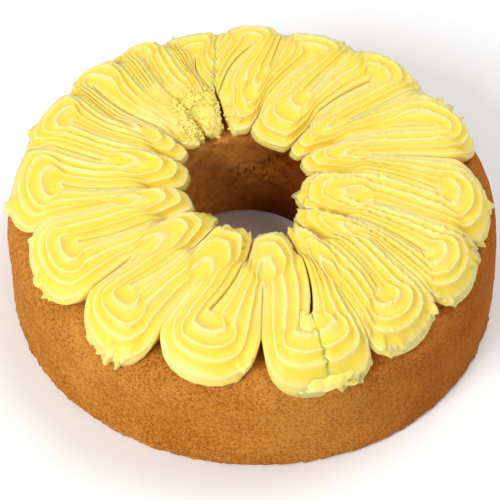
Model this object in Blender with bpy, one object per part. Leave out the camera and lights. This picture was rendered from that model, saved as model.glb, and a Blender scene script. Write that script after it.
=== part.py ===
"""Madeira ring cake: a baked sponge ring with one rope of buttercream piped in
zig-zag round its top. Metres, +Z up, standing on z = 0."""

import bmesh
import bpy
import numpy as np

MM = 0.001

# Sponge ring
BASE_RADIUS = 91.3
SIDE_RADIUS = 90.0
SHOULDER_START = 32.0
TOP_HEIGHT = 43.5
SHOULDER_WIDTH = 11.0
BASE_ROUND = 2.0
HOLE_TOP_RADIUS = 28.5
HOLE_BASE_RADIUS = 30.0
HOLE_ROUND = 2.5
HOLE_SHIFT = -2.5
SIDE_WOBBLE = 1.3
RING_STEPS = 72
MIDDLE = (0.5, 1.3)

# Buttercream rope
ROPE_HEIGHT = 10.2
ROPE_GAP = 0.45
TIP_LIFT = 1.0
ROPE_SQUARENESS = 2.2
RIDGE_COUNT = 4
RIDGE_DEPTH = 1.6
SLIT_MOUTH = 0.4
SLIT_END = 1.1
TIP_FULLNESS = 0.6
CREASE_END = 0.8
GROOVE_BOW = 4.0
HOLE_DROOP = 0.022
STEPS_PER_LEG = 15
UNDERSIDE = (0.86, 0.70, 0.36)
HEIGHT_SPREAD = 0.06

# One row a lobe of the rope, in travel order. Each pair is an angle in degrees and a
# radius: the turn beside the hole, the inside of that turn, the notch at the rim
# before the lobe, the inside of the lobe's own turn, and its tip. A third value is
# the width of the gap inside the turn, or how square the tip is.
LOBES = (
    ((309, 24), (300, 61), (299, 82), (310, 66), (308, 88)),
    ((321, 20), (326, 52), (320, 80), (330, 69), (329.5, 88)),
    ((350, 17), (345, 46), (341, 82), (356, 66), (352, 87)),
    ((390, 21), (374, 46), (368, 73), (381, 72), (380, 87.5)),
    ((406, 22), (399, 48), (397, 81), (408, 67), (409, 87)),
    ((424, 22), (423, 50), (420, 82), (430, 67), (430, 85.5)),
    ((462, 28), (443, 60), (441, 83), (450, 69), (449, 85)),
    ((467, 52), (461, 72), (458, 82), (469, 66), (465, 84.5)),
    ((474, 30), (474, 61), (475, 85), (484, 74), (480, 87)),
    ((494, 30), (492, 59), (488, 88), (502, 76), (497, 89.5)),
    ((510, 28), (510, 62), (505, 87), (517, 71), (515, 89.5)),
    ((528, 23), (531, 56), (526, 87), (543, 67), (540, 88.4)),
    ((559, 22), (554, 54), (555.5, 79.5), (567, 67), (572, 86)),
    ((580, 20), (582, 58), (583, 76), (590, 64), (599, 88)),
    ((612, 20), (608, 56), (606, 75), (617, 62), (620, 86.8)),
    ((645, 22), (634, 52), (632.5, 72), (648, 65, 1.0), (646, 89.5, 0.85)),
)


def clear_scene():
    for thing in list(bpy.data.objects):
        bpy.data.objects.remove(thing, do_unlink=True)


def make_material(name, colour, roughness):
    material = bpy.data.materials.new(name)
    material.use_nodes = True
    shader = material.node_tree.nodes["Principled BSDF"]
    shader.inputs["Base Color"].default_value = (*colour, 1.0)
    shader.inputs["Roughness"].default_value = roughness
    return material


def add_object(name, bm, material, collection):
    mesh = bpy.data.meshes.new(name)
    # the base leans to one side of the hole, and the origin is under its middle
    bmesh.ops.translate(bm, vec=(-MIDDLE[0], -MIDDLE[1], 0), verts=bm.verts)
    bmesh.ops.scale(bm, vec=(MM, MM, MM), verts=bm.verts)
    bm.to_mesh(mesh)
    bm.free()
    mesh.materials.append(material)
    mesh.shade_smooth()
    mesh.set_sharp_from_angle(angle=np.radians(50))
    thing = bpy.data.objects.new(name, mesh)
    collection.objects.link(thing)
    return thing


def sponge_profile():
    """Closed section of the ring as (radius, height), from the hole outwards."""
    points = []
    for turn in np.radians((0, 45, 90)):
        points.append((HOLE_BASE_RADIUS + BASE_ROUND * (1 - np.sin(turn)),
                       BASE_ROUND * (1 - np.cos(turn))))
    for turn in np.radians((0, 30, 60, 90)):
        points.append((HOLE_TOP_RADIUS + HOLE_ROUND * (1 - np.cos(turn)),
                       TOP_HEIGHT - HOLE_ROUND * (1 - np.sin(turn))))
    for turn in np.radians((0, 15, 30, 45, 60, 76, 90)):
        points.append((SIDE_RADIUS - SHOULDER_WIDTH * (1 - np.sin(turn)),
                       SHOULDER_START + (TOP_HEIGHT - SHOULDER_START) * np.cos(turn)))
    points.append((0.4 * SIDE_RADIUS + 0.6 * BASE_RADIUS, 0.4 * SHOULDER_START))
    for turn in np.radians((0, 45, 90)):
        points.append((BASE_RADIUS - BASE_ROUND * (1 - np.cos(turn)),
                       BASE_ROUND * (1 - np.sin(turn))))
    return points


def build_sponge(material, collection):
    bm = bmesh.new()
    ring = [bm.verts.new((radius, 0, height)) for radius, height in sponge_profile()]
    edges = [bm.edges.new((a, b)) for a, b in zip(ring, ring[1:] + ring[:1])]
    bmesh.ops.spin(bm, geom=ring + edges, cent=(0, 0, 0), axis=(0, 0, 1),
                   angle=2 * np.pi, steps=RING_STEPS, use_merge=True)
    bmesh.ops.remove_doubles(bm, verts=bm.verts, dist=1e-4)
    for vert in bm.verts:
        x, y, z = vert.co
        radius = np.hypot(x, y)
        if radius < 45:
            vert.co.x += HOLE_SHIFT
        else:
            angle = np.arctan2(y, x)
            share = np.clip((SHOULDER_START - z) / 8, 0, 1) * (radius > 89)
            wobble = 0.45 * np.sin(3 * angle - 2.36) - np.cos(angle - 3.95)
            vert.co.x += share * SIDE_WOBBLE * wobble * x / radius
            vert.co.y += share * SIDE_WOBBLE * wobble * y / radius
    bmesh.ops.recalc_face_normals(bm, faces=bm.faces)
    return add_object("sponge", bm, material, collection)


def point(spot):
    """The flat point of an (angle, radius) pair."""
    angle = np.radians(spot[0])
    return np.array([spot[1] * np.cos(angle), spot[1] * np.sin(angle)])


def bezier(p0, p1, p2, p3, count=40):
    t = np.linspace(0, 1, count)[:, None]
    return (1 - t)**3 * p0 + 3 * (1 - t)**2 * t * p1 + 3 * (1 - t) * t**2 * p2 + t**3 * p3


def run_length(path):
    steps = np.hypot(*np.diff(path, axis=0).T)
    return np.concatenate([[0], np.cumsum(steps)])


def along(path, distance):
    length = run_length(path)
    return np.stack([np.interp(distance, length, axis) for axis in path.T], -1)


def groove_line(mouth, pivot):
    """Middle of the slit between the two legs of a lobe, from the hole outwards."""
    start, end = point(mouth), point(pivot)
    run = end - start
    side = np.array([-run[1], run[0]]) / np.hypot(*run)
    middle = start + 0.62 * run + GROOVE_BOW * side
    return bezier(start, start + 0.62 * (middle - start), middle, end)


def crease_line(notch, fold):
    """Middle of the slit between neighbouring lobes, from the rim inwards."""
    start, end = point(notch), point(fold)
    return bezier(start, start + (end - start) / 3, start + (end - start) / 1.5, end)


def slit_side(line, end_width, side):
    """One side of a slit, mouth to round end; side is 1 for its left, -1 right."""
    share = np.linspace(0, 1, len(line))[:, None]
    half = (SLIT_MOUTH + (end_width - SLIT_MOUTH) * share**1.5) / 2
    heading = np.gradient(line, axis=0)
    heading /= np.hypot(heading[:, 0], heading[:, 1])[:, None]
    across = np.stack([-heading[:, 1], heading[:, 0]], -1) * side
    turn = np.linspace(0, np.pi / 2, 8)[1:, None]
    end = line[-1] + half[-1] * (np.cos(turn) * across[-1] + np.sin(turn) * heading[-1])
    return np.vstack([line + half * across, end])


def polar_curve(spots):
    """Bezier drawn in angle and radius, so that it follows the ring."""
    angle, radius = bezier(*[np.array(spot, float) for spot in spots]).T
    angle = np.radians(angle)
    return np.stack([radius * np.cos(angle), radius * np.sin(angle)], -1)


def scallop(turn, mouth):
    """Edge over the hole, from the middle of a turn to the mouth of a groove."""
    wide, tall = mouth[0] - turn[0], mouth[1] - turn[1]
    return polar_curve((turn, (turn[0] + 0.62 * wide, turn[1]),
                        (mouth[0] - 0.08 * wide, mouth[1] - 0.75 * tall), mouth))


def tip_outline(notch, tip):
    """Edge of a lobe, from the notch beside it to the middle of its tip."""
    wide, tall = tip[0] - notch[0], tip[1] - notch[1]
    full = tip[2] if len(tip) > 2 else TIP_FULLNESS
    return polar_curve((notch, (notch[0] + 0.1 * wide, notch[1] + full * tall),
                        (tip[0] - full * wide, tip[1]), tip[:2]))


def joined(first, second):
    """Two paths as one, the first bent at its end to meet the second."""
    bend = np.linspace(0, 1, len(first))[:, None]**3
    return np.vstack([(first + (second[0] - first[-1]) * bend)[:-1], second])


def matched(hole_edge, rim_edge, fold, pivot, count):
    """Facing points along the two edges of a leg. Where one edge turns about a
    slit's round end, the other runs on alone round the outside of the turn."""
    first, second = run_length(hole_edge), run_length(rim_edge)
    apart = np.hypot(*(hole_edge - fold).T) + 99 * (first > 0.75 * first[-1])
    near = np.hypot(*(rim_edge - pivot).T) + 99 * (second < 0.25 * second[-1])
    lead, trail = first[apart.argmin()], second[-1] - second[near.argmin()]
    middle = (first[-1] - lead + second[-1] - trail) / 2
    total = lead + middle + trail
    share = np.linspace(0, 1, 400)
    ends = []
    for start, sign, length in ((1 - trail / total, -1, first[-1]),
                                (lead / total, 1, second[-1])):
        ease = np.clip(0.5 + sign * (share - start) / 0.2, 0, 1)
        speed = ease**2 * (3 - 2 * ease) + 0.02
        travelled = np.concatenate([[0], np.cumsum((speed[1:] + speed[:-1]) / 2)])
        ends.append(travelled / travelled[-1] * length)
    step = np.linspace(0, 1, count)
    step = 0.5 * step + 0.25 - 0.25 * np.cos(np.pi * step)
    return (along(hole_edge, np.interp(step, share, ends[0])),
            along(rim_edge, np.interp(step, share, ends[1])))


def rope_edges():
    """Hole-side and rim-side edges of the whole rope, one row a station. It starts
    beside the last lobe's tip and ends there, so nothing joins the two ends."""
    count = len(LOBES)
    legs = []
    for index in range(count):
        turn, fold, notch, pivot, tip = LOBES[index]
        lap = 360 if index == count - 1 else 0
        later = [(spot[0] + lap, spot[1]) for spot in LOBES[(index + 1) % count][:3]]
        # the slit opens nearer to the turn that lies further from the hole
        far, next_far = turn[1]**4, later[0][1]**4
        mouth = ((turn[0] * far + later[0][0] * next_far) / (far + next_far),
                 (turn[1] + later[0][1]) / 2 + 4.5)
        groove = groove_line(mouth, pivot)
        slit_end = pivot[2] if len(pivot) > 2 else SLIT_END
        pair = []
        for side, spots in ((-1, (turn, fold, notch)), (1, later)):
            hole_edge = joined(scallop(spots[0], mouth), slit_side(groove, slit_end, side))
            crease = slit_side(crease_line(spots[2], spots[1]), CREASE_END, -side)
            rim_edge = joined(tip_outline(spots[2], tip)[::-1], crease)[::-1]
            pair.append(matched(hole_edge, rim_edge, point(spots[1]), point(pivot),
                                STEPS_PER_LEG))
        legs.append((pair[0][0][:-1], pair[0][1][:-1]))
        legs.append((pair[1][0][:0:-1], pair[1][1][:0:-1]))
        if index == count - 1:
            last_tip = (pair[0][0][-1:], pair[0][1][-1:])
    legs = legs[-1:] + legs[:-1] + [last_tip]
    return (np.vstack([leg[0] for leg in legs]), np.vstack([leg[1] for leg in legs]))


def resting_height(x, y):
    """Height of the rope's underside: on the sponge, and sagging over the hole."""
    beyond = np.clip((np.hypot(x, y) - SIDE_RADIUS + SHOULDER_WIDTH)
                     / SHOULDER_WIDTH, 0, 0.99)
    shoulder = (TOP_HEIGHT - SHOULDER_START) * (1 - np.sqrt(1 - beyond**2))
    overhang = np.clip(HOLE_TOP_RADIUS - 1 - np.hypot(x - HOLE_SHIFT, y), 0, None)
    gap = ROPE_GAP + TIP_LIFT * beyond
    return TOP_HEIGHT + gap - shoulder - HOLE_DROOP * overhang**2


def section(hole_point, rim_point, height):
    """Closed section of the rope, over the ridges and back underneath."""
    ring = []
    for step in range(2 * RIDGE_COUNT + 1):
        share = step / (2 * RIDGE_COUNT)
        x, y = hole_point + (rim_point - hole_point) * share
        dome = (1 - abs(2 * share - 1)**ROPE_SQUARENESS)**(1 / ROPE_SQUARENESS)
        valley = RIDGE_DEPTH * (step % 2 == 0) * dome
        ring.append((x, y, resting_height(x, y) + height * dome - valley))
    for share in UNDERSIDE:
        x, y = hole_point + (rim_point - hole_point) * share
        ring.append((x, y, resting_height(x, y)))
    return ring


def build_rope(material, collection):
    hole_edge, rim_edge = rope_edges()
    # the two ends of the rope stand apart
    rim_edge[0] += 0.12 * (rim_edge[1] - rim_edge[0])
    hole_edge[0] += 0.35 * (hole_edge[1] - hole_edge[0])
    along_rope = np.linspace(0, 2 * np.pi, len(hole_edge))
    spread = HEIGHT_SPREAD * (np.sin(9 * along_rope) + 0.6 * np.sin(23 * along_rope + 1))
    bm = bmesh.new()
    rings = []
    for first, second, extra in zip(hole_edge, rim_edge, spread):
        ring = section(first, second, ROPE_HEIGHT * (1 + extra))
        rings.append([bm.verts.new(spot) for spot in ring])
    for ring, after in zip(rings, rings[1:]):
        for a, b, c, d in zip(ring, ring[1:] + ring[:1], after[1:] + after[:1], after):
            bm.faces.new((a, b, c, d))
    bm.faces.new(rings[0])
    bm.faces.new(rings[-1][::-1])
    bmesh.ops.recalc_face_normals(bm, faces=bm.faces)
    bmesh.ops.triangulate(bm, faces=bm.faces)
    return add_object("icing", bm, material, collection)


def main():
    clear_scene()
    collection = bpy.data.collections.new("madeira_ring_cake")
    bpy.context.scene.collection.children.link(collection)
    build_sponge(make_material("sponge", (0.42, 0.17, 0.03), 0.75), collection)
    build_rope(make_material("buttercream", (0.95, 0.78, 0.17), 0.45), collection)


main()
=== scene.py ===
import math
import bpy
import numpy as np
from mathutils import Matrix, Vector


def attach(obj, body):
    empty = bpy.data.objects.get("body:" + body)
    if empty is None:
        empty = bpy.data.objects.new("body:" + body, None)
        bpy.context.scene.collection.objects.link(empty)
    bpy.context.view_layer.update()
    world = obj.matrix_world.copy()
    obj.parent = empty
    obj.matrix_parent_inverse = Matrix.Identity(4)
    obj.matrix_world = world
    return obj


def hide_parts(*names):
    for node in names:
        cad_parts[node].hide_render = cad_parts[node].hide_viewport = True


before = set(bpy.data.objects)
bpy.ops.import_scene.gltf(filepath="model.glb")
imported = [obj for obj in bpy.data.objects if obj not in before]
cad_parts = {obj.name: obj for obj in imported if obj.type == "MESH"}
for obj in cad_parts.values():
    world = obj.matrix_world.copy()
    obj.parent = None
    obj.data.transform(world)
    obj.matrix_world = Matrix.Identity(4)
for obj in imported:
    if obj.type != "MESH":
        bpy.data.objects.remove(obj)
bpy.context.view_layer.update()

mm = 0.001
middle = (0.5, 1.3)   # middle of the base, in mm from the point all is laid out round


def plug(tree, value, socket):
    if isinstance(value, bpy.types.NodeSocket):
        tree.links.new(value, socket)
    else:
        socket.default_value = value


def calc(tree, operation, *values):
    node = tree.nodes.new("ShaderNodeMath")
    node.operation = operation
    for value, socket in zip(values, node.inputs):
        plug(tree, value, socket)
    return node.outputs[0]


def calcVector(tree, operation, *values):
    node = tree.nodes.new("ShaderNodeVectorMath")
    node.operation = operation
    for value, socket in zip(values, node.inputs):
        plug(tree, value, socket)
    return node.outputs["Value" if operation in ("LENGTH", "DISTANCE") else "Vector"]


def scaleVector(tree, vector, factor):
    node = tree.nodes.new("ShaderNodeVectorMath")
    node.operation = "SCALE"
    plug(tree, vector, node.inputs[0])
    plug(tree, factor, node.inputs["Scale"])
    return node.outputs["Vector"]


def splitVector(tree, vector):
    node = tree.nodes.new("ShaderNodeSeparateXYZ")
    tree.links.new(vector, node.inputs[0])
    return node.outputs


def makeVector(tree, x, y, z):
    node = tree.nodes.new("ShaderNodeCombineXYZ")
    for value, socket in zip((x, y, z), node.inputs):
        plug(tree, value, socket)
    return node.outputs[0]


def noise(tree, vector, scale, detail=2.0, roughness=0.5):
    node = tree.nodes.new("ShaderNodeTexNoise")
    plug(tree, vector, node.inputs["Vector"])
    plug(tree, scale, node.inputs["Scale"])
    node.inputs["Detail"].default_value = detail
    node.inputs["Roughness"].default_value = roughness
    return node.outputs[0]


def sway(tree, vector, scale, detail=2.0, roughness=0.5):
    # noise that goes both ways from nought
    return calc(tree, "SUBTRACT", noise(tree, vector, scale, detail, roughness), 0.5)


def cells(tree, vector, scale, result="Distance"):
    node = tree.nodes.new("ShaderNodeTexVoronoi")
    plug(tree, vector, node.inputs["Vector"])
    plug(tree, scale, node.inputs["Scale"])
    return node.outputs[result]


def spread(tree, value, low, high, newLow=0.0, newHigh=1.0):
    node = tree.nodes.new("ShaderNodeMapRange")
    node.interpolation_type = "SMOOTHSTEP"
    for item, socket in zip((value, low, high, newLow, newHigh), node.inputs):
        plug(tree, item, socket)
    return node.outputs[0]


def newGeometryTree(name, sizes):
    tree = bpy.data.node_groups.new(name, "GeometryNodeTree")
    tree.interface.new_socket(name="Geometry", in_out="INPUT", socket_type="NodeSocketGeometry")
    kinds = {float: "NodeSocketFloat", int: "NodeSocketInt", tuple: "NodeSocketVector"}
    for label, value in sizes.items():
        tree.interface.new_socket(name=label, in_out="INPUT", socket_type=kinds[type(value)])
    tree.interface.new_socket(name="Material", in_out="INPUT", socket_type="NodeSocketMaterial")
    tree.interface.new_socket(name="Geometry", in_out="OUTPUT", socket_type="NodeSocketGeometry")
    return tree, tree.nodes.new("NodeGroupInput").outputs, tree.nodes.new("NodeGroupOutput")


def finishTree(tree, geometry, material, outNode):
    realize = tree.nodes.new("GeometryNodeRealizeInstances")
    paint = tree.nodes.new("GeometryNodeSetMaterial")
    tree.links.new(geometry, realize.inputs[0])
    tree.links.new(realize.outputs[0], paint.inputs[0])
    tree.links.new(material, paint.inputs["Material"])
    tree.links.new(paint.outputs[0], outNode.inputs[0])


def keepValue(tree, geometry, name, value):
    node = tree.nodes.new("GeometryNodeStoreNamedAttribute")
    node.data_type = "FLOAT"
    node.domain = "POINT"
    tree.links.new(geometry, node.inputs["Geometry"])
    node.inputs["Name"].default_value = name
    tree.links.new(value, node.inputs["Value"])
    return node.outputs[0]


def enabledSocket(sockets, name=None):
    return [s for s in sockets if s.enabled and name in (None, s.name)][0]


def named(tree, name, kind):
    node = tree.nodes.new("GeometryNodeInputNamedAttribute")
    node.data_type = kind
    node.inputs["Name"].default_value = name
    return enabledSocket(node.outputs, "Attribute")


def moved(tree, geometry, position=None, offset=None):
    node = tree.nodes.new("GeometryNodeSetPosition")
    tree.links.new(geometry, node.inputs["Geometry"])
    if position is not None:
        tree.links.new(position, node.inputs["Position"])
    if offset is not None:
        tree.links.new(offset, node.inputs["Offset"])
    return node.outputs[0]


def grown(name, mesh, tree, sizes, material, offset=middle):
    # puts the tree on the mesh, keeps its result as a plain mesh
    source = bpy.data.objects.new(name + "Source", mesh)
    bpy.context.scene.collection.objects.link(source)
    modifier = source.modifiers.new(name, "NODES")
    modifier.node_group = tree
    for item in tree.interface.items_tree:
        if item.in_out == "INPUT" and item.name in sizes:
            modifier[item.identifier] = sizes[item.name]
        if item.in_out == "INPUT" and item.name == "Material":
            modifier[item.identifier] = material
    graph = bpy.context.evaluated_depsgraph_get()
    plain = bpy.data.meshes.new_from_object(source.evaluated_get(graph))
    bpy.data.objects.remove(source, do_unlink=True)
    piece = bpy.data.objects.new(name, plain)
    bpy.context.scene.collection.objects.link(piece)
    plain.transform(Matrix.Translation((-offset[0] * mm, -offset[1] * mm, 0)))
    plain.shade_smooth()
    print(name, len(plain.vertices), "points", len(plain.polygons), "faces")
    return piece


def newMaterial(name):
    material = bpy.data.materials.new(name)
    material.use_nodes = True
    tree = material.node_tree
    shader = tree.nodes["Principled BSDF"]
    place = tree.nodes.new("ShaderNodeTexCoord").outputs["Object"]
    return material, tree, shader, place


def stored(tree, name):
    node = tree.nodes.new("ShaderNodeAttribute")
    node.attribute_name = name
    return node.outputs["Fac"]


def mixColour(tree, share, first, second):
    node = tree.nodes.new("ShaderNodeMix")
    node.data_type = "RGBA"
    plug(tree, share, node.inputs[0])
    plug(tree, first, node.inputs[6])
    plug(tree, second, node.inputs[7])
    return node.outputs[2]


def tinted(tree, colour, look, layers):
    # each layer: value, where it starts and is full, its share there, its colour
    for value, low, high, most, tint in layers:
        share = spread(tree, value, low, high, 0.0, most)
        colour = mixColour(tree, share, colour, look[tint])
    return colour


def finishShader(tree, shader, look, colour, height):
    tree.links.new(colour, shader.inputs["Base Color"])
    for label, key in (("Roughness", "roughness"), ("Specular IOR Level", "shine"),
                       ("Subsurface Weight", "glow"), ("Subsurface Radius", "glowReach"),
                       ("Subsurface Scale", "glowDepth")):
        shader.inputs[label].default_value = look[key]
    bump = tree.nodes.new("ShaderNodeBump")
    bump.inputs["Distance"].default_value = look["bumpDepth"]
    bump.inputs["Strength"].default_value = look["bumpShare"]
    tree.links.new(height, bump.inputs["Height"])
    tree.links.new(bump.outputs[0], shader.inputs["Normal"])


creamLook = {
    "body": (0.93, 0.70, 0.13, 1),
    # painted shade: deeper, more saturated yellow for the grooves
    "valley": (0.94, 0.73, 0.045, 1),
    # paler yellow for random patches, and the painted highlight on the crests
    "pale": (0.94, 0.76, 0.34, 1),
    "roughness": 0.42,
    "shine": 0.4,
    "glow": 0.85,   # light that passes through
    "glowReach": (1.0, 0.8, 0.25),
    "glowDepth": 0.0036,
    "patchScale": 60.0,
    "fineScale": 900.0,
    "beadScale": 780.0,
    "beadDepth": 2.0,
    "bumpDepth": 0.00012,
    "bumpShare": 0.7,
}

# small overlapping bits turn grey if light passes through them
smearLook = {
    **creamLook,
    "body": (0.94, 0.78, 0.16, 1),
    "pale": (0.95, 0.82, 0.34, 1),
    "glow": 0.0,
}

spongeLook = {
    "crust": (0.39, 0.123, 0.0125, 1),
    "light": (0.56, 0.222, 0.038, 1),
    # dark specks, and the painted shade inside the hole
    "dark": (0.13, 0.025, 0.002, 1),
    "crumb": (0.62, 0.29, 0.055, 1),
    # painted shade: darker, redder crust for the sponge's shaded right side
    "paintedShade": (0.34, 0.055, 0.001, 1),
    # bright orange for bare patches on the hole's left wall, raised as painted light
    "bared": (0.97, 0.42, 0.09, 1),
    "roughness": 0.85,
    "shine": 0.03,
    "glow": 0.1,
    "glowReach": (1.0, 0.5, 0.2),
    "glowDepth": 0.001,
    "patchScale": 28.0,
    "mottleScale": 240.0,
    "speckScale": 620.0,
    "roughScale": 1500.0,
    "grainScale": 1700.0,
    "bumpDepth": 0.0005,
    "bumpShare": 0.45,
}


def creamMaterial(name, look):
    material, tree, shader, place = newMaterial(name)
    valley = stored(tree, "valley")
    patches = noise(tree, place, look["patchScale"], 3.0)
    fine = noise(tree, place, look["fineScale"], 3.0)
    crest = stored(tree, "crest")
    # the crests are torn into beads, more on the right and at the back
    x, y = splitVector(tree, place)[:2]
    beads = spread(tree, cells(tree, place, look["beadScale"]), 0.1, 0.7, 1.0, 0.0)
    beads = calc(tree, "MULTIPLY", beads, spread(tree, crest, 0.35, 0.8))
    torn = spread(tree, calc(tree, "MULTIPLY_ADD", y, 0.5, x), -0.02, 0.04, 0.2, 1.0)
    beads = calc(tree, "MULTIPLY", beads, torn)
    colour = tinted(tree, look["body"], look, (
        (patches, 0.35, 0.75, 0.55, "pale"),
        # painted shade in the grooves between the ridges
        (valley, 0.45, 1.0, 0.8, "valley"),
        # painted highlight: the crests paler
        (crest, 0.35, 0.9, 0.7, "pale"),
    ))
    height = calc(tree, "MULTIPLY_ADD", beads, look["beadDepth"], fine)
    finishShader(tree, shader, look, colour, height)
    return material


def spongeMaterial(name, look):
    material, tree, shader, place = newMaterial(name)
    patches = noise(tree, place, look["patchScale"], 4.0, 0.6)
    mottle = noise(tree, place, look["mottleScale"], 4.0, 0.65)
    grain = splitVector(tree, cells(tree, place, look["grainScale"], "Color"))[0]
    speck = noise(tree, place, look["speckScale"], 3.0, 0.6)
    side = splitVector(tree, place)[0]
    colour = tinted(tree, look["crust"], look, (
        (patches, 0.32, 0.70, 1.0, "light"),
        (mottle, 0.42, 0.72, 0.2, "crumb"),
        (grain, 0.45, 1.0, 0.5, "crumb"),
        (grain, 0.5, 0.0, 0.45, "dark"),
        (speck, 0.62, 0.74, 0.4, "dark"),
        # painted shade: the crust darker and redder towards the right side, away from the key
        # light
        (side, 0.0, 0.085, 0.45, "paintedShade"),
    ))
    # darker where the hole's wall is torn, and painted shade on its right and lower part
    colour = mixColour(tree, stored(tree, "tearsAndPaintedShade"), colour, look["dark"])
    # bare flaky patches on the hole's left wall, brightened as painted light
    colour = mixColour(tree, stored(tree, "bared"), colour, look["bared"])
    rough = noise(tree, place, look["roughScale"], 3.0, 0.65)
    height = calc(tree, "MULTIPLY_ADD", mottle, 0.3, calc(tree, "MULTIPLY", rough, 0.7))
    height = calc(tree, "SUBTRACT", height, spread(tree, speck, 0.6, 0.75, 0.0, 0.6))
    finishShader(tree, shader, look, colour, height)
    return material


# radii, heights and widths in mm
ring = {
    "baseRadius": 91.3,
    "sideRadius": 90.0,
    "shoulderStart": 32.0,
    "topHeight": 43.5,
    "shoulderWidth": 11.0,
    "baseRound": 2.0,
    "holeTopRadius": 28.5,
    "holeBaseRadius": 30.0,
    "holeRound": 2.5,
    "holeShift": -2.5,
    "shiftReach": 45.0,   # the hole's shift ends at this radius
    "wobble": 1.3,   # how far the side leaves a true circle
    "wobbleFrom": 84.0,
    "wobbleFade": 8.0,
    "steps": 620,
}


def ringProfile():
    points = []
    for turn in np.radians(np.linspace(0, 90, 5)):
        points.append((ring["holeBaseRadius"] + ring["baseRound"] * (1 - math.sin(turn)),
                       ring["baseRound"] * (1 - math.cos(turn))))
    for share in np.linspace(0.04, 0.96, 40):
        radius = ring["holeBaseRadius"] + (ring["holeTopRadius"] - ring["holeBaseRadius"]) * share
        tall = ring["topHeight"] - ring["baseRound"] - ring["holeRound"]
        points.append((radius, ring["baseRound"] + tall * share))
    for turn in np.radians(np.linspace(0, 90, 7)):
        points.append((ring["holeTopRadius"] + ring["holeRound"] * (1 - math.cos(turn)),
                       ring["topHeight"] - ring["holeRound"] * (1 - math.sin(turn))))
    for radius in np.linspace(36, 75, 12):
        points.append((radius, ring["topHeight"]))
    for turn in np.radians(np.linspace(0, 90, 24)):
        points.append((ring["sideRadius"] - ring["shoulderWidth"] * (1 - math.sin(turn)),
                       ring["shoulderStart"]
                       + (ring["topHeight"] - ring["shoulderStart"]) * math.cos(turn)))
    for height in np.linspace(ring["shoulderStart"] - 0.8, ring["baseRound"] + 0.8, 36):
        flare = (ring["baseRadius"] - ring["sideRadius"]) * (1 - height / ring["shoulderStart"])
        points.append((ring["sideRadius"] + flare, height))
    for turn in np.radians(np.linspace(0, 90, 6)):
        points.append((ring["baseRadius"] - ring["baseRound"] * (1 - math.cos(turn)),
                       ring["baseRound"] * (1 - math.sin(turn))))
    for radius in np.linspace(86, 36, 10):
        points.append((radius, 0.0))
    return np.array(points)


def turnedMesh(name, profile, steps):
    turn = np.linspace(0, 2 * np.pi, steps, endpoint=False)
    radius, height = profile.T
    around = turn[:, None]
    x = radius * np.cos(around)
    y = radius * np.sin(around)
    x = x + (radius < ring["shiftReach"]) * ring["holeShift"]
    # slightly three-sided, and pushed a little to one side
    wobble = 0.45 * np.sin(3 * around - 2.36) - np.cos(around - 3.95)
    share = np.clip((ring["shoulderStart"] - height) / ring["wobbleFade"], 0, 1)
    share = share * (radius > ring["wobbleFrom"]) * ring["wobble"]
    x = x + share * wobble * np.cos(around)
    y = y + share * wobble * np.sin(around)
    points = np.stack([x, y, np.broadcast_to(height, x.shape)], -1) * mm
    rows = len(radius)
    index = np.arange(steps * rows).reshape(steps, rows)
    right = np.roll(index, -1, axis=0)
    faces = np.stack([index, np.roll(index, -1, axis=1), np.roll(right, -1, axis=1), right], -1)
    mesh = bpy.data.meshes.new(name)
    mesh.from_pydata(points.reshape(-1, 3), [], faces.reshape(-1, 4).tolist())
    return mesh


# depths in metres, scales to the metre
crustSizes = {
    "Swell": 0.00055,
    "Swell scale": 34.0,
    "Crinkle": 0.00032,
    "Crinkle scale": 240.0,
    "Pit depth": 0.0007,
    "Pit scale": 95.0,
    "Pit patches": 45.0,
    "Rag height": 0.0045,
    "Rag": 0.0015,
    "Rag scale": 330.0,
    "Tear": 0.0016,
    "Tear scale": 130.0,
    "Tear patches": 38.0,
    "Flake scale": 260.0,
}


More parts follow.
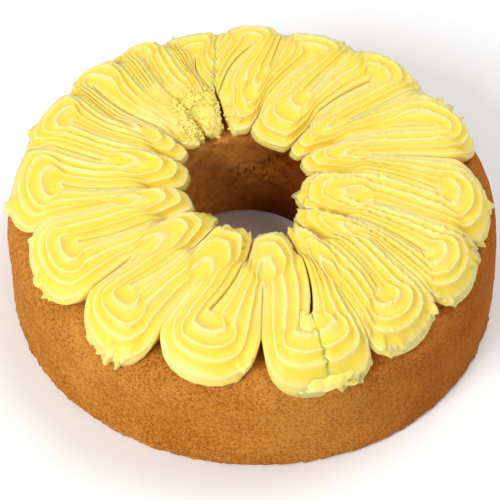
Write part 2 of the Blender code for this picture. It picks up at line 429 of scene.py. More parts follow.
def crustTree():
    tree, given, outNode = newGeometryTree("Baked crust", crustSizes)
    place = tree.nodes.new("GeometryNodeInputPosition").outputs[0]
    normal = tree.nodes.new("GeometryNodeInputNormal").outputs[0]
    x, y, z = splitVector(tree, place)
    radius = calc(tree, "SQRT", calc(tree, "ADD", calc(tree, "MULTIPLY", x, x),
                                     calc(tree, "MULTIPLY", y, y)))
    swell = sway(tree, place, given["Swell scale"])
    crinkle = sway(tree, place, given["Crinkle scale"], 4.0, 0.62)
    pits = spread(tree, cells(tree, place, given["Pit scale"]), 0.0, 0.16, 1.0, 0.0)
    where = spread(tree, noise(tree, place, given["Pit patches"]), 0.5, 0.62)
    pits = calc(tree, "MULTIPLY", pits, where)
    lift = calc(tree, "MULTIPLY", swell, calc(tree, "MULTIPLY", given["Swell"], 2.0))
    lift = calc(tree, "MULTIPLY_ADD", crinkle, calc(tree, "MULTIPLY", given["Crinkle"], 2.0), lift)
    lift = calc(tree, "SUBTRACT", lift, calc(tree, "MULTIPLY", pits, given["Pit depth"]))
    # the lower edge is ragged where it left the tin
    low = spread(tree, z, 0.0, given["Rag height"], 1.0, 0.0)
    outer = spread(tree, radius, 0.083, 0.088)
    rag = calc(tree, "SUBTRACT", noise(tree, place, given["Rag scale"], 4.0, 0.7), 0.52)
    rag = calc(tree, "MULTIPLY", rag, calc(tree, "MULTIPLY", low, outer))
    lift = calc(tree, "MULTIPLY_ADD", rag, calc(tree, "MULTIPLY", given["Rag"], 3.0), lift)
    # torn crust on the wall of the hole
    inner = spread(tree, radius, 0.034, 0.040, 1.0, 0.0)
    high = spread(tree, z, 0.012, 0.024)
    stretched = calcVector(tree, "MULTIPLY", place, (1.0, 1.0, 2.2))
    torn = spread(tree, noise(tree, stretched, given["Tear scale"], 4.0, 0.7), 0.47, 0.56)
    zone = spread(tree, noise(tree, place, given["Tear patches"], 1.0), 0.46, 0.56)
    torn = calc(tree, "MULTIPLY", calc(tree, "MULTIPLY", torn, zone),
                calc(tree, "MULTIPLY", inner, high))
    lift = calc(tree, "MULTIPLY_ADD", torn, calc(tree, "MULTIPLY", given["Tear"], -1.0), lift)
    # the base stays flat
    lift = calc(tree, "MULTIPLY", lift, spread(tree, z, 0.0, 0.0012))
    geometry = moved(tree, given["Geometry"], offset=scaleVector(tree, normal, lift))
    # painted shade in the hole: its wall darker towards the right and towards the bottom
    paintedShade = calc(tree, "ADD", spread(tree, x, -0.03, 0.022, 0.0, 0.9),
                 spread(tree, z, 0.0, 0.03, 0.3, 0.0))
    # painted light: flaky, torn patches on the hole's left wall, brightened beyond the crust's own
    # colour
    paintedLightWall = calc(tree, "MULTIPLY", inner, spread(tree, x, -0.028, 0.01, 1.0, 0.0))
    flaky = spread(tree, noise(tree, place, given["Flake scale"], 4.0, 0.7), 0.4, 0.62,
                   0.5, 1.0)
    bared = calc(tree, "MULTIPLY", paintedLightWall, calc(tree, "MAXIMUM", flaky, torn))
    # torn patches a little darker, plus the painted shade of the hole's wall
    tearsAndPaintedShade = calc(tree, "MULTIPLY_ADD", torn, 0.2, calc(tree, "MULTIPLY", inner, paintedShade))
    geometry = keepValue(tree, geometry, "tearsAndPaintedShade", tearsAndPaintedShade)
    geometry = keepValue(tree, geometry, "bared", bared)
    finishTree(tree, geometry, given["Material"], outNode)
    return tree


# in mm, apart from counts and shares
rope = {
    "height": 10.0,
    "gap": 0.25,
    "slitMouth": 0.1,
    "slitEnd": 0.2,
    "creaseEnd": 0.1,
    "tipFullness": 0.6,
    "bow": 4.0,
    "bend": 0.62,   # how far out along a curve its handles stand
    "mouthRise": 4.5,
    "droop": 0.022,
    "legSteps": 84,
    "heightSpread": 0.06,
    "cornerRound": 10.0,
    "tuckedSteps": 10,
    "tuckDepth": 0.25,
    "tuckFade": 5.0,
    "endRound": 3.0,
    "startRaise": 0.1,
    "startFade": 12.0,
}

# each lobe: angle and radius of the turn at the hole, its inside, the notch, pivot (and
# width of the gap there) and tip (and how square it is)
lobes = (
    ((309, 24), (300, 61), (299, 82), (310, 66), (308, 88)),
    ((321, 20), (326, 52), (320, 80), (330, 69), (329.5, 88)),
    ((350, 17), (345, 46), (341, 82), (356, 66), (352, 87)),
    ((390, 21), (374, 46), (368, 73), (381, 72), (380, 87.5)),
    ((406, 22), (399, 48), (397, 81), (408, 67), (409, 87)),
    ((424, 22), (423, 50), (420, 82), (430, 67), (430, 85.5)),
    ((462, 28), (443, 60), (441, 83), (450, 69), (449, 85)),
    ((467, 52), (461, 72), (458, 82), (469, 66), (465, 84.5)),
    ((474, 30), (474, 61), (475, 85), (484, 74), (480, 87)),
    ((494, 30), (492, 59), (488, 88), (502, 76), (497, 89.5)),
    ((510, 28), (510, 62), (505, 87), (517, 71), (515, 89.5)),
    ((528, 23), (531, 56), (526, 87), (543, 67), (540, 88.4)),
    ((559, 22), (554, 54), (555.5, 79.5), (567, 67), (572, 86)),
    ((580, 20), (582, 58), (583, 76), (590, 64), (599, 88)),
    ((612, 20), (608, 56), (606, 75), (617, 62), (620, 86.8)),
    ((645, 22), (634, 52), (632.5, 72), (648, 65, 1.0), (646, 89.5, 0.85)),
)


def flatPoint(spot):
    angle = math.radians(spot[0])
    return np.array([spot[1] * math.cos(angle), spot[1] * math.sin(angle)])


def bezier(p0, p1, p2, p3, count=90):
    t = np.linspace(0, 1, count)[:, None]
    return (1 - t)**3 * p0 + 3 * (1 - t)**2 * t * p1 + 3 * (1 - t) * t**2 * p2 + t**3 * p3


def runLength(path):
    return np.concatenate([[0], np.cumsum(np.hypot(*np.diff(path, axis=0).T))])


def along(path, distance, length=None):
    length = runLength(path) if length is None else length
    return np.stack([np.interp(distance, length, axis) for axis in path.T], -1)


def softened(path):
    # the same path with its corners rounded off
    length = runLength(path)
    reach = np.minimum(rope["cornerRound"], np.minimum(length, length[-1] - length))
    return np.mean([along(path, length + share * reach) for share in np.linspace(-1, 1, 13)],
                   axis=0)


def grooveLine(mouth, pivot):
    start, end = flatPoint(mouth), flatPoint(pivot)
    run = end - start
    side = np.array([-run[1], run[0]]) / np.hypot(*run)
    bowed = start + rope["bend"] * run + rope["bow"] * side
    return bezier(start, start + rope["bend"] * (bowed - start), bowed, end)


def creaseLine(notch, fold):
    start, end = flatPoint(notch), flatPoint(fold)
    return bezier(start, start + (end - start) / 3, start + (end - start) / 1.5, end)


def slitSide(line, endWidth, side):
    share = np.linspace(0, 1, len(line))[:, None]
    half = (rope["slitMouth"] + (endWidth - rope["slitMouth"]) * share**1.5) / 2
    heading = np.gradient(line, axis=0)
    heading /= np.hypot(heading[:, 0], heading[:, 1])[:, None]
    across = np.stack([-heading[:, 1], heading[:, 0]], -1) * side
    turn = np.linspace(0, np.pi / 2, 12)[1:, None]
    end = line[-1] + half[-1] * (np.cos(turn) * across[-1] + np.sin(turn) * heading[-1])
    return np.vstack([line + half * across, end])


def polarCurve(spots):
    angle, radius = bezier(*[np.array(spot, float) for spot in spots]).T
    angle = np.radians(angle)
    return np.stack([radius * np.cos(angle), radius * np.sin(angle)], -1)


def scallop(turn, mouth):
    wide, tall = mouth[0] - turn[0], mouth[1] - turn[1]
    return polarCurve((turn, (turn[0] + rope["bend"] * wide, turn[1]),
                       (mouth[0] - 0.08 * wide, mouth[1] - 0.75 * tall), mouth))


def tipOutline(notch, tip):
    wide, tall = tip[0] - notch[0], tip[1] - notch[1]
    full = tip[2] if len(tip) > 2 else rope["tipFullness"]
    return polarCurve((notch, (notch[0] + 0.1 * wide, notch[1] + full * tall),
                       (tip[0] - full * wide, tip[1]), tip[:2]))


def joined(first, second):
    # the first curve is bent to end where the second starts
    bend = np.linspace(0, 1, len(first))[:, None]**3
    return np.vstack([(first + (second[0] - first[-1]) * bend)[:-1], second])


def matched(holeEdge, rimEdge, fold, pivot, count):
    # facing points along both edges; one runs on alone round the outside of a turn
    first, second = runLength(holeEdge), runLength(rimEdge)
    tooFar = 99   # keeps the wrong end of an edge from being the nearest
    toFold = np.hypot(*(holeEdge - fold).T) + tooFar * (first > 0.75 * first[-1])
    toPivot = np.hypot(*(rimEdge - pivot).T) + tooFar * (second < 0.25 * second[-1])
    lead, trail = first[toFold.argmin()], second[-1] - second[toPivot.argmin()]
    total = lead + (first[-1] - lead + second[-1] - trail) / 2 + trail
    share = np.linspace(0, 1, 400)
    step = np.linspace(0, 1, count)
    step = 0.35 * step + 0.325 - 0.325 * np.cos(np.pi * step)   # closer together at both ends
    sides = []
    for start, sign, edge, length in ((1 - trail / total, -1, holeEdge, first[-1]),
                                      (lead / total, 1, rimEdge, second[-1])):
        ease = np.clip(0.5 + sign * (share - start) / 0.2, 0, 1)
        speed = ease**2 * (3 - 2 * ease) + 0.02
        travelled = np.concatenate([[0], np.cumsum((speed[1:] + speed[:-1]) / 2)])
        distance = np.interp(step, share, travelled / travelled[-1] * length)
        sides.append(along(edge, distance))
        sides.append(along(softened(edge), distance, runLength(edge)))
    return np.hstack(sides)


def ropeEdges():
    count = len(lobes)
    legs = []
    for index in range(count):
        turn, fold, notch, pivot, tip = lobes[index]
        lap = 360 if index == count - 1 else 0
        later = [(spot[0] + lap, spot[1]) for spot in lobes[(index + 1) % count][:3]]
        far, nextFar = turn[1]**4, later[0][1]**4
        mouth = ((turn[0] * far + later[0][0] * nextFar) / (far + nextFar),
                 (turn[1] + later[0][1]) / 2 + rope["mouthRise"])
        groove = grooveLine(mouth, pivot)
        slitEnd = pivot[2] if len(pivot) > 2 else rope["slitEnd"]
        pair = []
        for side, spots in ((-1, (turn, fold, notch)), (1, later)):
            holeEdge = joined(scallop(spots[0], mouth), slitSide(groove, slitEnd, side))
            crease = slitSide(creaseLine(spots[2], spots[1]), rope["creaseEnd"], -side)
            rimEdge = joined(tipOutline(spots[2], tip)[::-1], crease)[::-1]
            pair.append(matched(holeEdge, rimEdge, flatPoint(spots[1]), flatPoint(pivot),
                                rope["legSteps"]))
        legs.append(pair[0][:-1])
        legs.append(pair[1][:0:-1])
    return np.vstack(legs[-1:] + legs[:-1] + [pair[0][-1:]])


def railMesh():
    # one point a station at the hole side, the rim side kept as a value beside it
    under = rope["tuckedSteps"]
    edges = ropeEdges()
    edges = np.vstack([edges, edges[1:under + 1]])
    holeEdge, holeSoft, rimEdge, rimSoft = np.split(edges, 4, axis=1)
    travelled = runLength((holeEdge + rimEdge) / 2)
    length = travelled[-1]
    step = travelled / length * 2 * np.pi
    tall = 1 + rope["heightSpread"] * (np.sin(9 * step) + 0.6 * np.sin(23 * step + 1))
    # the start lies over the end, which is tucked in below it
    tall += rope["startRaise"] * np.exp(-travelled / rope["startFade"])
    tucked = np.clip((travelled - travelled[-under - 1]) / rope["tuckFade"], 0, 1)
    tall -= rope["tuckDepth"] * tucked
    nearEnd = np.minimum(travelled, length - travelled) / rope["endRound"]
    closing = np.sqrt(1 - (1 - np.clip(nearEnd, 0, 1))**2)
    mesh = bpy.data.meshes.new("ropeRails")
    mesh.from_pydata(np.pad(holeEdge * mm, ((0, 0), (0, 1))), [], [])
    for name, edge in (("rimSide", rimEdge), ("holeSoft", holeSoft), ("rimSoft", rimSoft)):
        side = mesh.attributes.new(name, "FLOAT_VECTOR", "POINT")
        side.data.foreach_set("vector", np.pad(edge * mm, ((0, 0), (0, 1))).ravel())
    for name, values in (("tall", tall), ("travelled", travelled * mm), ("closing", closing)):
        mesh.attributes.new(name, "FLOAT", "POINT").data.foreach_set("value", values)
    return mesh


def onRing(angle, radius, height=0.0):
    return tuple(flatPoint((angle, radius)) * mm) + (height * mm,)


# sizes and places in metres, scales to the metre
ropeSizes = {
    "Stations": 0,
    "Section points": 36,
    "Top points": 30,
    "Height": rope["height"] * mm,
    "Rest height": (ring["topHeight"] + rope["gap"]) * mm,
    "Rim starts": 0.074,
    "Rim full": 0.084,
    "Hole full": 0.034,
    "Hole ends": 0.042,
    "Rim squareness": 1.7,
    "Hole squareness": 1.9,
    "Pressed squareness": 2.5,
    "Underside squareness": 1.6,
    "Rim waist": 0.2,
    "Hole waist": 0.18,
    "Pressed waist": 0.8,
    "Ridges": 5.0,
    "Ridge depth": 0.0017,
    "Valley sharpness": 0.75,
    "Depth scale": 70.0,
    "Ridge wander": 0.08,
    "Wander scale": 60.0,
    "Crowding": 0.125,
    "Serration": 0.0006,
    "Serration scale": 650.0,
    "Raggedness": 0.05,
    "Raggedness scale": 330.0,
    "Fringe": 0.003,
    "Fringe scale": 300.0,
    "Fringe patches": 45.0,
    "Unevenness": 0.0006,
    "Unevenness scale": 120.0,
    "Smudge place": onRing(130, 48),
    "Smudge size": 0.016,
    "Smudge height": 0.003,
    "Smudge scale": 190.0,
    "Crumbly place": onRing(118, 37),
    "Crumbly size": 0.013,
    "Crumb height": 0.0045,
    "Crumb scale": 420.0,
    "Weld distance": 2e-6,
}


def ropeTree():
    tree, given, outNode = newGeometryTree("Piped rope", ropeSizes)
    rows, topRows = given["Section points"], given["Top points"]
    width = calc(tree, "ADD", rows, 1)
    grid = tree.nodes.new("GeometryNodeMeshGrid")
    plug(tree, given["Stations"], grid.inputs["Vertices X"])
    plug(tree, width, grid.inputs["Vertices Y"])
    index = tree.nodes.new("GeometryNodeInputIndex").outputs[0]
    station = calc(tree, "FLOOR", calc(tree, "DIVIDE", calc(tree, "ADD", index, 0.5), width))
    column = calc(tree, "SUBTRACT", index, calc(tree, "MULTIPLY", station, width))

    def fromRails(kind, value):
        # what the rails hold at the station that a point of the grid belongs to
        sample = tree.nodes.new("GeometryNodeSampleIndex")
        sample.data_type = kind
        tree.links.new(given["Geometry"], sample.inputs["Geometry"])
        tree.links.new(value, enabledSocket(sample.inputs, "Value"))
        tree.links.new(station, sample.inputs["Index"])
        return enabledSocket(sample.outputs)

    holeSide = fromRails("FLOAT_VECTOR", tree.nodes.new("GeometryNodeInputPosition").outputs[0])
    rimSide, holeSoft, rimSoft = [
        fromRails("FLOAT_VECTOR", named(tree, name, "FLOAT_VECTOR"))
        for name in ("rimSide", "holeSoft", "rimSoft")]
    tall, travelled, closing = [
        fromRails("FLOAT", named(tree, name, "FLOAT"))
        for name in ("tall", "travelled", "closing")]

    # where the rope lies open: along the rim, and at its turns by the hole
    rimOpen = spread(tree, calcVector(tree, "LENGTH", rimSide), given["Rim starts"],
                     given["Rim full"])
    holeOpen = spread(tree, calcVector(tree, "LENGTH", holeSide), given["Hole full"],
                      given["Hole ends"], 1.0, 0.0)

    # the section: over the ridges, then back underneath
    over = calc(tree, "MINIMUM", calc(tree, "DIVIDE", column, topRows), 1.0)
    under = calc(tree, "DIVIDE", calc(tree, "SUBTRACT", column, topRows),
                 calc(tree, "SUBTRACT", rows, topRows))
    under = calc(tree, "MAXIMUM", under, 0.0)
    # points gather at the crests that the nozzle's teeth leave
    phase = calc(tree, "MULTIPLY", calc(tree, "MULTIPLY", over, given["Ridges"]), 2 * math.pi)
    gather = calc(tree, "DIVIDE", 0.7 / (2 * math.pi), given["Ridges"])
    over = calc(tree, "MULTIPLY_ADD", calc(tree, "SINE", phase), gather, over)
    valley = calc(tree, "COSINE", calc(tree, "MULTIPLY", calc(
        tree, "MULTIPLY", over, given["Ridges"]), math.pi))
    valley = calc(tree, "POWER", calc(tree, "ABSOLUTE", valley), given["Valley sharpness"])
    drift = sway(tree, makeVector(tree, travelled, calc(tree, "MULTIPLY", over, 0.02), 0.0),
                 given["Wander scale"], 1.0)
    drift = calc(tree, "MULTIPLY", drift,
                 calc(tree, "SINE", calc(tree, "MULTIPLY", over, math.pi)))
    place = calc(tree, "MULTIPLY_ADD", drift, given["Ridge wander"], over)
    # at the tips they crowd towards the rim, at the hole towards its edge
    lean = calc(tree, "SINE", calc(tree, "MULTIPLY", place, math.pi))
    evened = calc(tree, "SINE", calc(tree, "MULTIPLY", place, 2 * math.pi))
    place = calc(tree, "MULTIPLY_ADD", evened, calc(tree, "MULTIPLY_ADD", rimOpen, 0.005, 0.05),
                 place)
    crowding = calc(tree, "SUBTRACT", calc(tree, "MULTIPLY", rimOpen, given["Crowding"]),
                    calc(tree, "MULTIPLY", holeOpen, given["Crowding"]))
    place = calc(tree, "MULTIPLY_ADD", lean, crowding, place)
    turn = calc(tree, "MULTIPLY", calc(tree, "ADD", place, under), math.pi)
    cosine = calc(tree, "MULTIPLY", calc(tree, "COSINE", turn), -1.0)
    sine = calc(tree, "SINE", turn)
    below = calc(tree, "LESS_THAN", sine, 0.0)

    # steep where folds press together, rounder along the rim and over the hole
    onRim = spread(tree, cosine, -0.5, 0.5)
    atRim = calc(tree, "MULTIPLY", onRim, rimOpen)
    atHole = calc(tree, "MULTIPLY", calc(tree, "SUBTRACT", 1.0, onRim), holeOpen)

    def opened(pressed, rim, hole):
        value = calc(tree, "MULTIPLY_ADD", atRim, calc(tree, "SUBTRACT", given[rim],
                                                       given[pressed]), given[pressed])
        return calc(tree, "MULTIPLY_ADD", atHole, calc(tree, "SUBTRACT", given[hole],
                                                       given[pressed]), value)

    square = opened("Pressed squareness", "Rim squareness", "Hole squareness")
    squarer = given["Underside squareness"]
    squarer = calc(tree, "MULTIPLY_ADD", atHole, calc(tree, "MULTIPLY", squarer, -1.0), squarer)
    power = calc(tree, "DIVIDE", 2.0, calc(tree, "MULTIPLY_ADD", below, squarer, square))
    across = calc(tree, "MULTIPLY", calc(tree, "SIGN", cosine),
                  calc(tree, "POWER", calc(tree, "ABSOLUTE", cosine), power))
    upward = calc(tree, "MULTIPLY", calc(tree, "SIGN", sine),
                  calc(tree, "POWER", calc(tree, "ABSOLUTE", sine), power))
    halfWay = calc(tree, "MULTIPLY_ADD", across, 0.5, 0.5)
    bared = calc(tree, "MAXIMUM", atRim, atHole)
    topShare = spread(tree, sine, calc(tree, "MULTIPLY_ADD", bared, -0.25, 0.3),
                      calc(tree, "MULTIPLY_ADD", bared, -0.3, 0.6))
    crest = calc(tree, "MULTIPLY", calc(tree, "SUBTRACT", 1.0, valley), topShare)
    valley = calc(tree, "MULTIPLY", valley, topShare)

    lateral = calcVector(tree, "SUBTRACT", rimSide, holeSide)
    depthNoise = noise(tree, makeVector(tree, travelled, 0.0, 3.0), given["Depth scale"])
    depth = calc(tree, "MULTIPLY", given["Ridge depth"],
                 calc(tree, "MULTIPLY_ADD", depthNoise, 1.1, 0.45))
    flatPlace = calcVector(tree, "ADD", holeSide, scaleVector(tree, lateral, halfWay))

    def nearTo(placeName, sizeName):
        gapTo = calcVector(tree, "DISTANCE", flatPlace, given[placeName])
        size = given[sizeName]
        return spread(tree, gapTo, calc(tree, "MULTIPLY", size, 0.55), size, 1.0, 0.0)

    smudge = nearTo("Smudge place", "Smudge size")
    crumbly = nearTo("Crumbly place", "Crumbly size")
    worn = calc(tree, "MAXIMUM", calc(tree, "MULTIPLY", smudge, 0.75), crumbly)
    depth = calc(tree, "MULTIPLY", depth, calc(tree, "SUBTRACT", 1.0, worn))
    furrow = calc(tree, "MULTIPLY", calc(tree, "MULTIPLY", valley, depth), closing)
    halfWide = calc(tree, "MAXIMUM", calc(tree, "MULTIPLY", calcVector(
        tree, "LENGTH", lateral), 0.5), 0.004)
    aside = calcVector(tree, "ADD", flatPlace,
                       makeVector(tree, 0.0, 0.0, calc(tree, "MULTIPLY", sine, 0.006)))
    ragged = sway(tree, aside, given["Raggedness scale"], 3.0, 0.65)
    cut = calc(tree, "MULTIPLY_ADD", ragged, given["Raggedness"], 1.0)
    cut = calc(tree, "MULTIPLY", cut, closing)
    across = calc(tree, "SUBTRACT", calc(tree, "MULTIPLY", across, cut), calc(
        tree, "MULTIPLY", cosine, calc(tree, "DIVIDE", furrow, halfWide)))
    upward = calc(tree, "MULTIPLY", upward, cut)

    # where it lies: on the sponge's top, down its shoulder, sagging over the hole
    share = calc(tree, "MULTIPLY_ADD", across, 0.5, 0.5)
    flat = calcVector(tree, "ADD", holeSoft, scaleVector(
        tree, calcVector(tree, "SUBTRACT", rimSoft, holeSoft), share))
    for edge, soft, nearness in ((holeSide, holeSoft, calc(tree, "SUBTRACT", 1.0, share)),
                                 (rimSide, rimSoft, share)):
        nearness = calc(tree, "POWER", nearness, 4.0)
        flat = calcVector(tree, "ADD", flat, scaleVector(
            tree, calcVector(tree, "SUBTRACT", edge, soft), nearness))
    x, y, z = splitVector(tree, flat)
    radius = calcVector(tree, "LENGTH", flat)
    beyond = calc(tree, "DIVIDE", calc(tree, "SUBTRACT", radius,
                                       (ring["sideRadius"] - ring["shoulderWidth"]) * mm),
                  ring["shoulderWidth"] * mm)
    beyond = calc(tree, "MINIMUM", calc(tree, "MAXIMUM", beyond, 0.0), 0.99)
    fall = calc(tree, "SUBTRACT", 1.0, calc(tree, "SQRT", calc(
        tree, "SUBTRACT", 1.0, calc(tree, "MULTIPLY", beyond, beyond))))
    fall = calc(tree, "MULTIPLY", fall, (ring["topHeight"] - ring["shoulderStart"]) * mm)
    holeGap = calcVector(tree, "DISTANCE", flat, (ring["holeShift"] * mm, 0.0, 0.0))
    overhang = calc(tree, "MAXIMUM", calc(tree, "SUBTRACT",
                                          (ring["holeTopRadius"] - 1) * mm, holeGap), 0.0)
    sag = calc(tree, "MULTIPLY", calc(tree, "MULTIPLY", overhang, overhang), rope["droop"] / mm)
    rest = calc(tree, "SUBTRACT", given["Rest height"], calc(tree, "ADD", fall, sag))
    height = calc(tree, "MULTIPLY", given["Height"], tall)
    waist = calc(tree, "MULTIPLY", height, opened("Pressed waist", "Rim waist", "Hole waist"))
    upHeight = calc(tree, "SUBTRACT", height, waist)
    reach = calc(tree, "ADD", calc(tree, "MULTIPLY", upHeight, calc(tree, "SUBTRACT", 1.0, below)),
                 calc(tree, "MULTIPLY", waist, below))
    # at its ends the rope closes to a point at half its height
    middleHeight = calc(tree, "MULTIPLY", height, 0.5)
    waist = calc(tree, "MULTIPLY_ADD", closing, calc(tree, "SUBTRACT", waist, middleHeight),
                 middleHeight)
    z = calc(tree, "ADD", rest, calc(tree, "MULTIPLY_ADD", upward, reach, waist))
    z = calc(tree, "SUBTRACT", z, calc(tree, "MULTIPLY", furrow, calc(
        tree, "MAXIMUM", sine, 0.0)))
    spot = makeVector(tree, x, y, z)

    # slight tears and lumps, more of them on the right
    crestShare = spread(tree, crest, 0.3, 0.9)
    side = spread(tree, x, -0.03, 0.05, 0.35, 1.4)
    saw = sway(tree, flatPlace, given["Serration scale"], 1.0, 0.6)
    rough = calc(tree, "MULTIPLY", calc(tree, "MULTIPLY", crestShare, side), given["Serration"])
    lift = calc(tree, "MULTIPLY", saw, calc(tree, "MULTIPLY", rough, 4.0))
    lump = sway(tree, spot, given["Unevenness scale"], 3.0, 0.55)
    lift = calc(tree, "MULTIPLY_ADD", lump, given["Unevenness"], lift)
    grains = calc(tree, "SUBTRACT", noise(tree, spot, given["Crumb scale"], 4.0, 0.75), 0.45)
    lift = calc(tree, "MULTIPLY_ADD", calc(tree, "MULTIPLY", grains, crumbly),
                given["Crumb height"], lift)
    waves = sway(tree, spot, given["Smudge scale"])
    lift = calc(tree, "MULTIPLY_ADD", calc(tree, "MULTIPLY", waves, smudge),
                given["Smudge height"], lift)
    lift = calc(tree, "MULTIPLY", lift, calc(tree, "MULTIPLY", topShare, closing))
    spot = calcVector(tree, "ADD", spot, makeVector(tree, 0.0, 0.0, lift))
    # the thin lower edges at the rim and at the hole are torn
    teeth = calc(tree, "MULTIPLY",
                 spread(tree, noise(tree, spot, given["Fringe scale"], 1.0), 0.42, 0.7),
                 spread(tree, noise(tree, spot, given["Fringe patches"], 1.0), 0.5, 0.6))
    lowEdge = calc(tree, "MULTIPLY", spread(tree, cosine, 0.7, 0.98), rimOpen)
    holeEdge = calc(tree, "MULTIPLY", spread(tree, cosine, -0.5, -0.9), holeOpen)
    lowEdge = calc(tree, "MULTIPLY", calc(tree, "SUBTRACT", lowEdge, holeEdge), closing)
    outward = calcVector(tree, "NORMALIZE", makeVector(tree, x, y, 0.0))
    spot = calcVector(tree, "ADD", spot, scaleVector(tree, outward, calc(
        tree, "MULTIPLY", calc(tree, "MULTIPLY", teeth, lowEdge), given["Fringe"])))

    geometry = moved(tree, grid.outputs["Mesh"], position=spot)
    kept = calc(tree, "SUBTRACT", 1.0, worn)
    # the groove and crest shares carry the cream's painted shade and painted highlight
    geometry = keepValue(tree, geometry, "valley", calc(tree, "MULTIPLY", valley, kept))
    geometry = keepValue(tree, geometry, "crest", calc(tree, "MULTIPLY", crest, kept))
    weld = tree.nodes.new("GeometryNodeMergeByDistance")
    tree.links.new(geometry, weld.inputs["Geometry"])
    tree.links.new(given["Weld distance"], weld.inputs["Distance"])
    turned = tree.nodes.new("GeometryNodeFlipFaces")
    tree.links.new(weld.outputs[0], turned.inputs["Mesh"])
    finishTree(tree, turned.outputs[0], given["Material"], outNode)
    return tree


# smears of buttercream: angle, radius, height, half sizes outwards, sideways and up
smears = (
    (285.8, 69.5, 50.6, 6.8, 3.2, 2.4),
    (282.0, 86.0, 39.6, 2.6, 7.0, 3.0),
    (285.2, 86.3, 40.8, 2.9, 7.4, 3.6),
    (288.4, 86.4, 41.4, 2.9, 7.4, 3.7),
    (291.6, 86.0, 41.6, 2.7, 7.4, 3.5),
    (294.4, 85.2, 41.8, 2.4, 6.4, 3.2),
)

smearSizes = {
    "Subdivisions": 5,
    "Lumpiness": 0.0011,
    "Lump scale": 260.0,
}


def smearMesh():
    mesh = bpy.data.meshes.new("smearSpots")
    mesh.from_pydata([onRing(*smear[:3]) for smear in smears], [], [])
    sizes = mesh.attributes.new("reach", "FLOAT_VECTOR", "POINT")
    sizes.data.foreach_set("vector", np.array([smear[3:] for smear in smears]).ravel() * mm)
    turns = mesh.attributes.new("heading", "FLOAT", "POINT")
    turns.data.foreach_set("value", [math.radians(smear[0]) for smear in smears])
    return mesh


def ballsOn(tree, points, divisions, scale, rotation):
    ball = tree.nodes.new("GeometryNodeMeshIcoSphere")
    plug(tree, divisions, ball.inputs["Subdivisions"])
    placing = tree.nodes.new("GeometryNodeInstanceOnPoints")
    tree.links.new(points, placing.inputs["Points"])
    tree.links.new(ball.outputs["Mesh"], placing.inputs["Instance"])
    tree.links.new(scale, placing.inputs["Scale"])
    tree.links.new(rotation, placing.inputs["Rotation"])
    real = tree.nodes.new("GeometryNodeRealizeInstances")
    tree.links.new(placing.outputs[0], real.inputs[0])
    return real.outputs[0]


def lumpy(tree, geometry, scale, depth):
    spot = tree.nodes.new("GeometryNodeInputPosition").outputs[0]
    normal = tree.nodes.new("GeometryNodeInputNormal").outputs[0]
    lump = sway(tree, spot, scale, 2.0, 0.45)
    push = calc(tree, "MULTIPLY", lump, calc(tree, "MULTIPLY", depth, 2.0))
    return moved(tree, geometry, offset=scaleVector(tree, normal, push))


def smearTree():
    tree, given, outNode = newGeometryTree("Smears", smearSizes)
    geometry = ballsOn(tree, given["Geometry"], given["Subdivisions"],
                       named(tree, "reach", "FLOAT_VECTOR"),
                       makeVector(tree, 0.0, 0.0, named(tree, "heading", "FLOAT")))
    geometry = lumpy(tree, geometry, given["Lump scale"], given["Lumpiness"])
    finishTree(tree, geometry, given["Material"], outNode)
    return tree


crumbSizes = {
    "Place": onRing(121, 37, 50),
    "Reach": 0.0155,
    "Density": 3200000.0,   # to the square metre
    "Largest": 0.00085,
    "Patch scale": 160.0,
    "Divisions": 2,
    "Seed": 7,
    "Lumpiness": 0.0005,
    "Lump scale": 900.0,
}


def crumbTree():
    tree, given, outNode = newGeometryTree("Crumbs", crumbSizes)
    spot = tree.nodes.new("GeometryNodeInputPosition").outputs[0]
    near = spread(tree, calcVector(tree, "DISTANCE", spot, given["Place"]),
                  calc(tree, "MULTIPLY", given["Reach"], 0.3), given["Reach"], 1.0, 0.0)
    upright = splitVector(tree, tree.nodes.new("GeometryNodeInputNormal").outputs[0])[2]
    near = calc(tree, "MULTIPLY", near, spread(tree, upright, 0.1, 0.5))
    patchy = spread(tree, noise(tree, spot, given["Patch scale"]), 0.42, 0.6)
    scatter = tree.nodes.new("GeometryNodeDistributePointsOnFaces")
    tree.links.new(given["Geometry"], scatter.inputs["Mesh"])
    tree.links.new(calc(tree, "MULTIPLY", given["Density"], calc(
        tree, "MULTIPLY", near, patchy)), scatter.inputs["Density"])
    tree.links.new(given["Seed"], scatter.inputs["Seed"])

    def randomVector(low, high, seed):
        node = tree.nodes.new("FunctionNodeRandomValue")
        node.data_type = "FLOAT_VECTOR"
        node.inputs["Min"].default_value = low
        node.inputs["Max"].default_value = high
        node.inputs["Seed"].default_value = seed
        return node.outputs["Value"]

    share = randomVector((0.35, 0.35, 0.25), (1.0, 1.0, 0.8), 3)
    geometry = ballsOn(tree, scatter.outputs["Points"], given["Divisions"],
                       scaleVector(tree, share, given["Largest"]),
                       randomVector((0, 0, 0), (6.3, 6.3, 6.3), 5))   # a whole turn
    geometry = lumpy(tree, geometry, given["Lump scale"], given["Lumpiness"])
    finishTree(tree, geometry, given["Material"], outNode)
    return tree


cream = creamMaterial("buttercream", creamLook)
smearCream = creamMaterial("buttercreamSmears", smearLook)
bake = spongeMaterial("sponge", spongeLook)

spongeMesh = turnedMesh("sponge", ringProfile(), ring["steps"])
sponge = grown("spongeRing", spongeMesh, crustTree(), crustSizes, bake)

rails = railMesh()
ropeSizes["Stations"] = len(rails.vertices)
icing = grown("pipedRope", rails, ropeTree(), ropeSizes, cream)

smeared = grown("smearedCream", smearMesh(), smearTree(), smearSizes, smearCream)
crumbs = grown("creamCrumbs", icing.data, crumbTree(), crumbSizes, smearCream, (0, 0))

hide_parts("sponge")
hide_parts("icing")
for piece in (sponge, icing, smeared, crumbs):
    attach(piece, "root")
print("pieces placed")


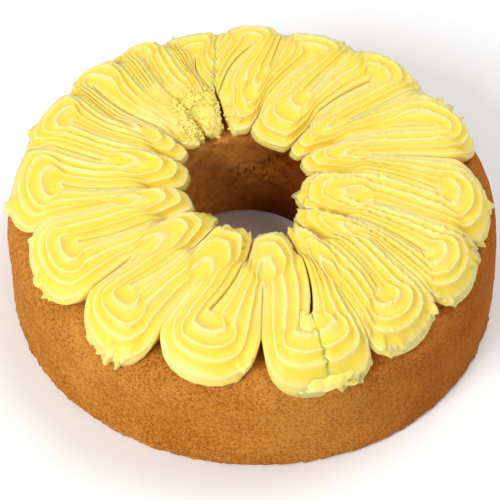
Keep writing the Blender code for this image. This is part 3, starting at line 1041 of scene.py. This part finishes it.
studio = {
    "elevation": 48.99,
    "distance": 0.663,
    "aimHeight": 0.0237,
    "lens": 127.8,
    "shift": (-0.0035, -0.041),
    "keyLight": ((-0.7, -0.75, 0.8), 0.45, 11.0),   # place, size and watts
    "topLight": ((0.4, 0.35, 1.1), 0.6, 5.6),
    "roomLight": 0.48,
    "floor": (0.93, 0.93, 0.93, 1),
    "floorRoughness": 0.9,
    "floorReach": 3,
}

tilt = math.radians(studio["elevation"])
away = Vector((0, -math.cos(tilt), math.sin(tilt)))
cameraData = bpy.data.cameras.new("camera")
cameraData.lens = studio["lens"]
cameraData.sensor_width = 36
cameraData.shift_x, cameraData.shift_y = studio["shift"]
camera = bpy.data.objects.new("camera", cameraData)
camera.location = away * studio["distance"] + Vector(
    (-middle[0] * mm, -middle[1] * mm, studio["aimHeight"]))
camera.rotation_euler = (math.pi / 2 - tilt, 0, 0)
bpy.context.scene.collection.objects.link(camera)
bpy.context.scene.camera = camera

floorMesh = bpy.data.meshes.new("floor")
corners = ((-1, -1), (1, -1), (1, 1), (-1, 1))
floorMesh.from_pydata([(x * studio["floorReach"], y * studio["floorReach"], 0)
                       for x, y in corners], [], [(0, 1, 2, 3)])
floor = bpy.data.objects.new("floor", floorMesh)
bpy.context.scene.collection.objects.link(floor)
floorMaterial = bpy.data.materials.new("paleFloor")
floorMaterial.use_nodes = True
floorShader = floorMaterial.node_tree.nodes["Principled BSDF"]
floorShader.inputs["Base Color"].default_value = studio["floor"]
floorShader.inputs["Roughness"].default_value = studio["floorRoughness"]
floorMesh.materials.append(floorMaterial)


def softLight(name, place, size, watts):
    data = bpy.data.lights.new(name, "AREA")
    data.size = size
    data.energy = watts
    light = bpy.data.objects.new(name, data)
    light.location = place
    light.rotation_euler = (-Vector(place)).to_track_quat("-Z", "Y").to_euler()
    bpy.context.scene.collection.objects.link(light)


for name in ("keyLight", "topLight"):
    softLight(name, *studio[name])
world = bpy.data.worlds.new("studio")
world.use_nodes = True
background = world.node_tree.nodes["Background"]
background.inputs["Color"].default_value = (1, 1, 1, 1)
background.inputs["Strength"].default_value = studio["roomLight"]
bpy.context.scene.world = world
bpy.context.scene.view_settings.view_transform = "Standard"
print("camera, floor and light set")
